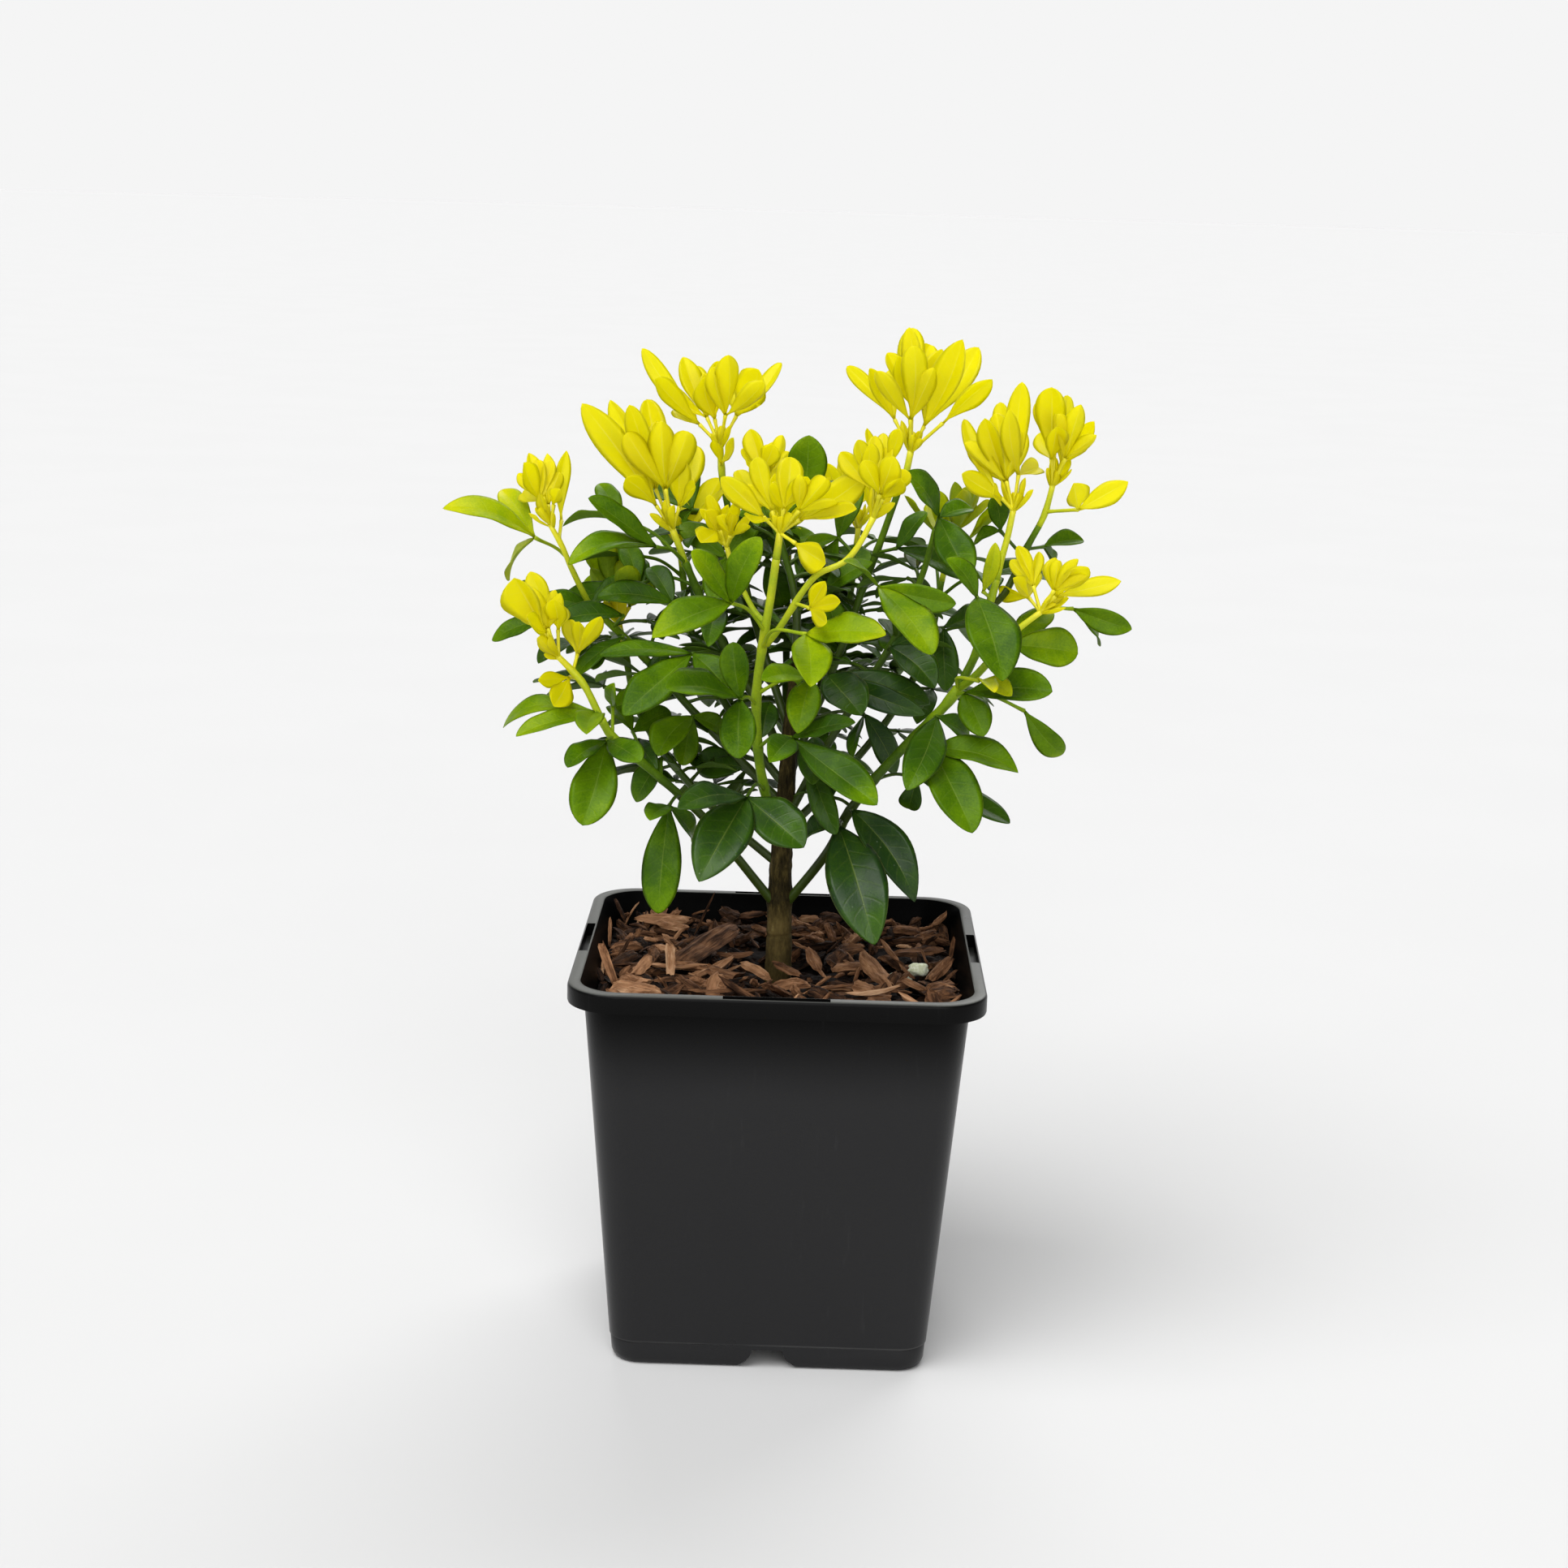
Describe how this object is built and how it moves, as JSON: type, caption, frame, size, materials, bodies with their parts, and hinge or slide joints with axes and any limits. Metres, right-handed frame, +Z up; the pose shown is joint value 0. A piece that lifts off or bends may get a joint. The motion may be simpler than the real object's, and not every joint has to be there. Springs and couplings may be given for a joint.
{
  "type": "potted mexican orange",
  "caption": "Young golden Mexican orange: glossy green three-part leaves and yellow shoot tips, in a square black nursery pot of bark mix.",
  "frame": {"origin": "centre of the pot's underside, on the surface that the pot stands on", "axes": "+Z up, +X to the right and -Y to the front, as the picture shows it"},
  "size_m": [0.2357, 0.14, 0.351],
  "materials": {
    "black_plastic": "satin black moulded plastic",
    "bark_mix": "rough red-brown bark chips",
    "bark": "rough brown bark",
    "green_leaf": "glossy green leaf",
    "young_leaf": "satin yellow young leaf"
  },
  "bodies": {
    "root": {"pot": "black_plastic", "shoot_back_far": "green_leaf", "shoot_back_left": "green_leaf", "shoot_back_left_low": "green_leaf", "shoot_back_right": "green_leaf", "shoot_back_right_tall": "green_leaf", "shoot_centre": "green_leaf", "shoot_front": "green_leaf", "shoot_left_low": "green_leaf", "shoot_left_mid": "green_leaf", "shoot_left_up": "green_leaf", "shoot_right_far": "green_leaf", "shoot_right_high": "green_leaf", "shoot_right_low": "green_leaf", "shoot_right_mid": "green_leaf", "shoot_right_out": "green_leaf", "shoot_right_up": "green_leaf", "shoot_top": "green_leaf", "soil": "bark_mix", "spray_back_far": "young_leaf", "spray_back_left": "young_leaf", "spray_back_left_low": "young_leaf", "spray_back_right": "young_leaf", "spray_back_right_tall": "young_leaf", "spray_centre": "young_leaf", "spray_front": "young_leaf", "spray_front_left": "young_leaf", "spray_front_right": "young_leaf", "spray_left_far": "young_leaf", "spray_left_low": "young_leaf", "spray_left_tall": "young_leaf", "spray_right_far": "young_leaf", "spray_right_low": "young_leaf", "spray_right_tall": "young_leaf", "spray_tall": "young_leaf", "spray_top": "young_leaf", "trunk": "bark"}
  },
  "joints": []
}
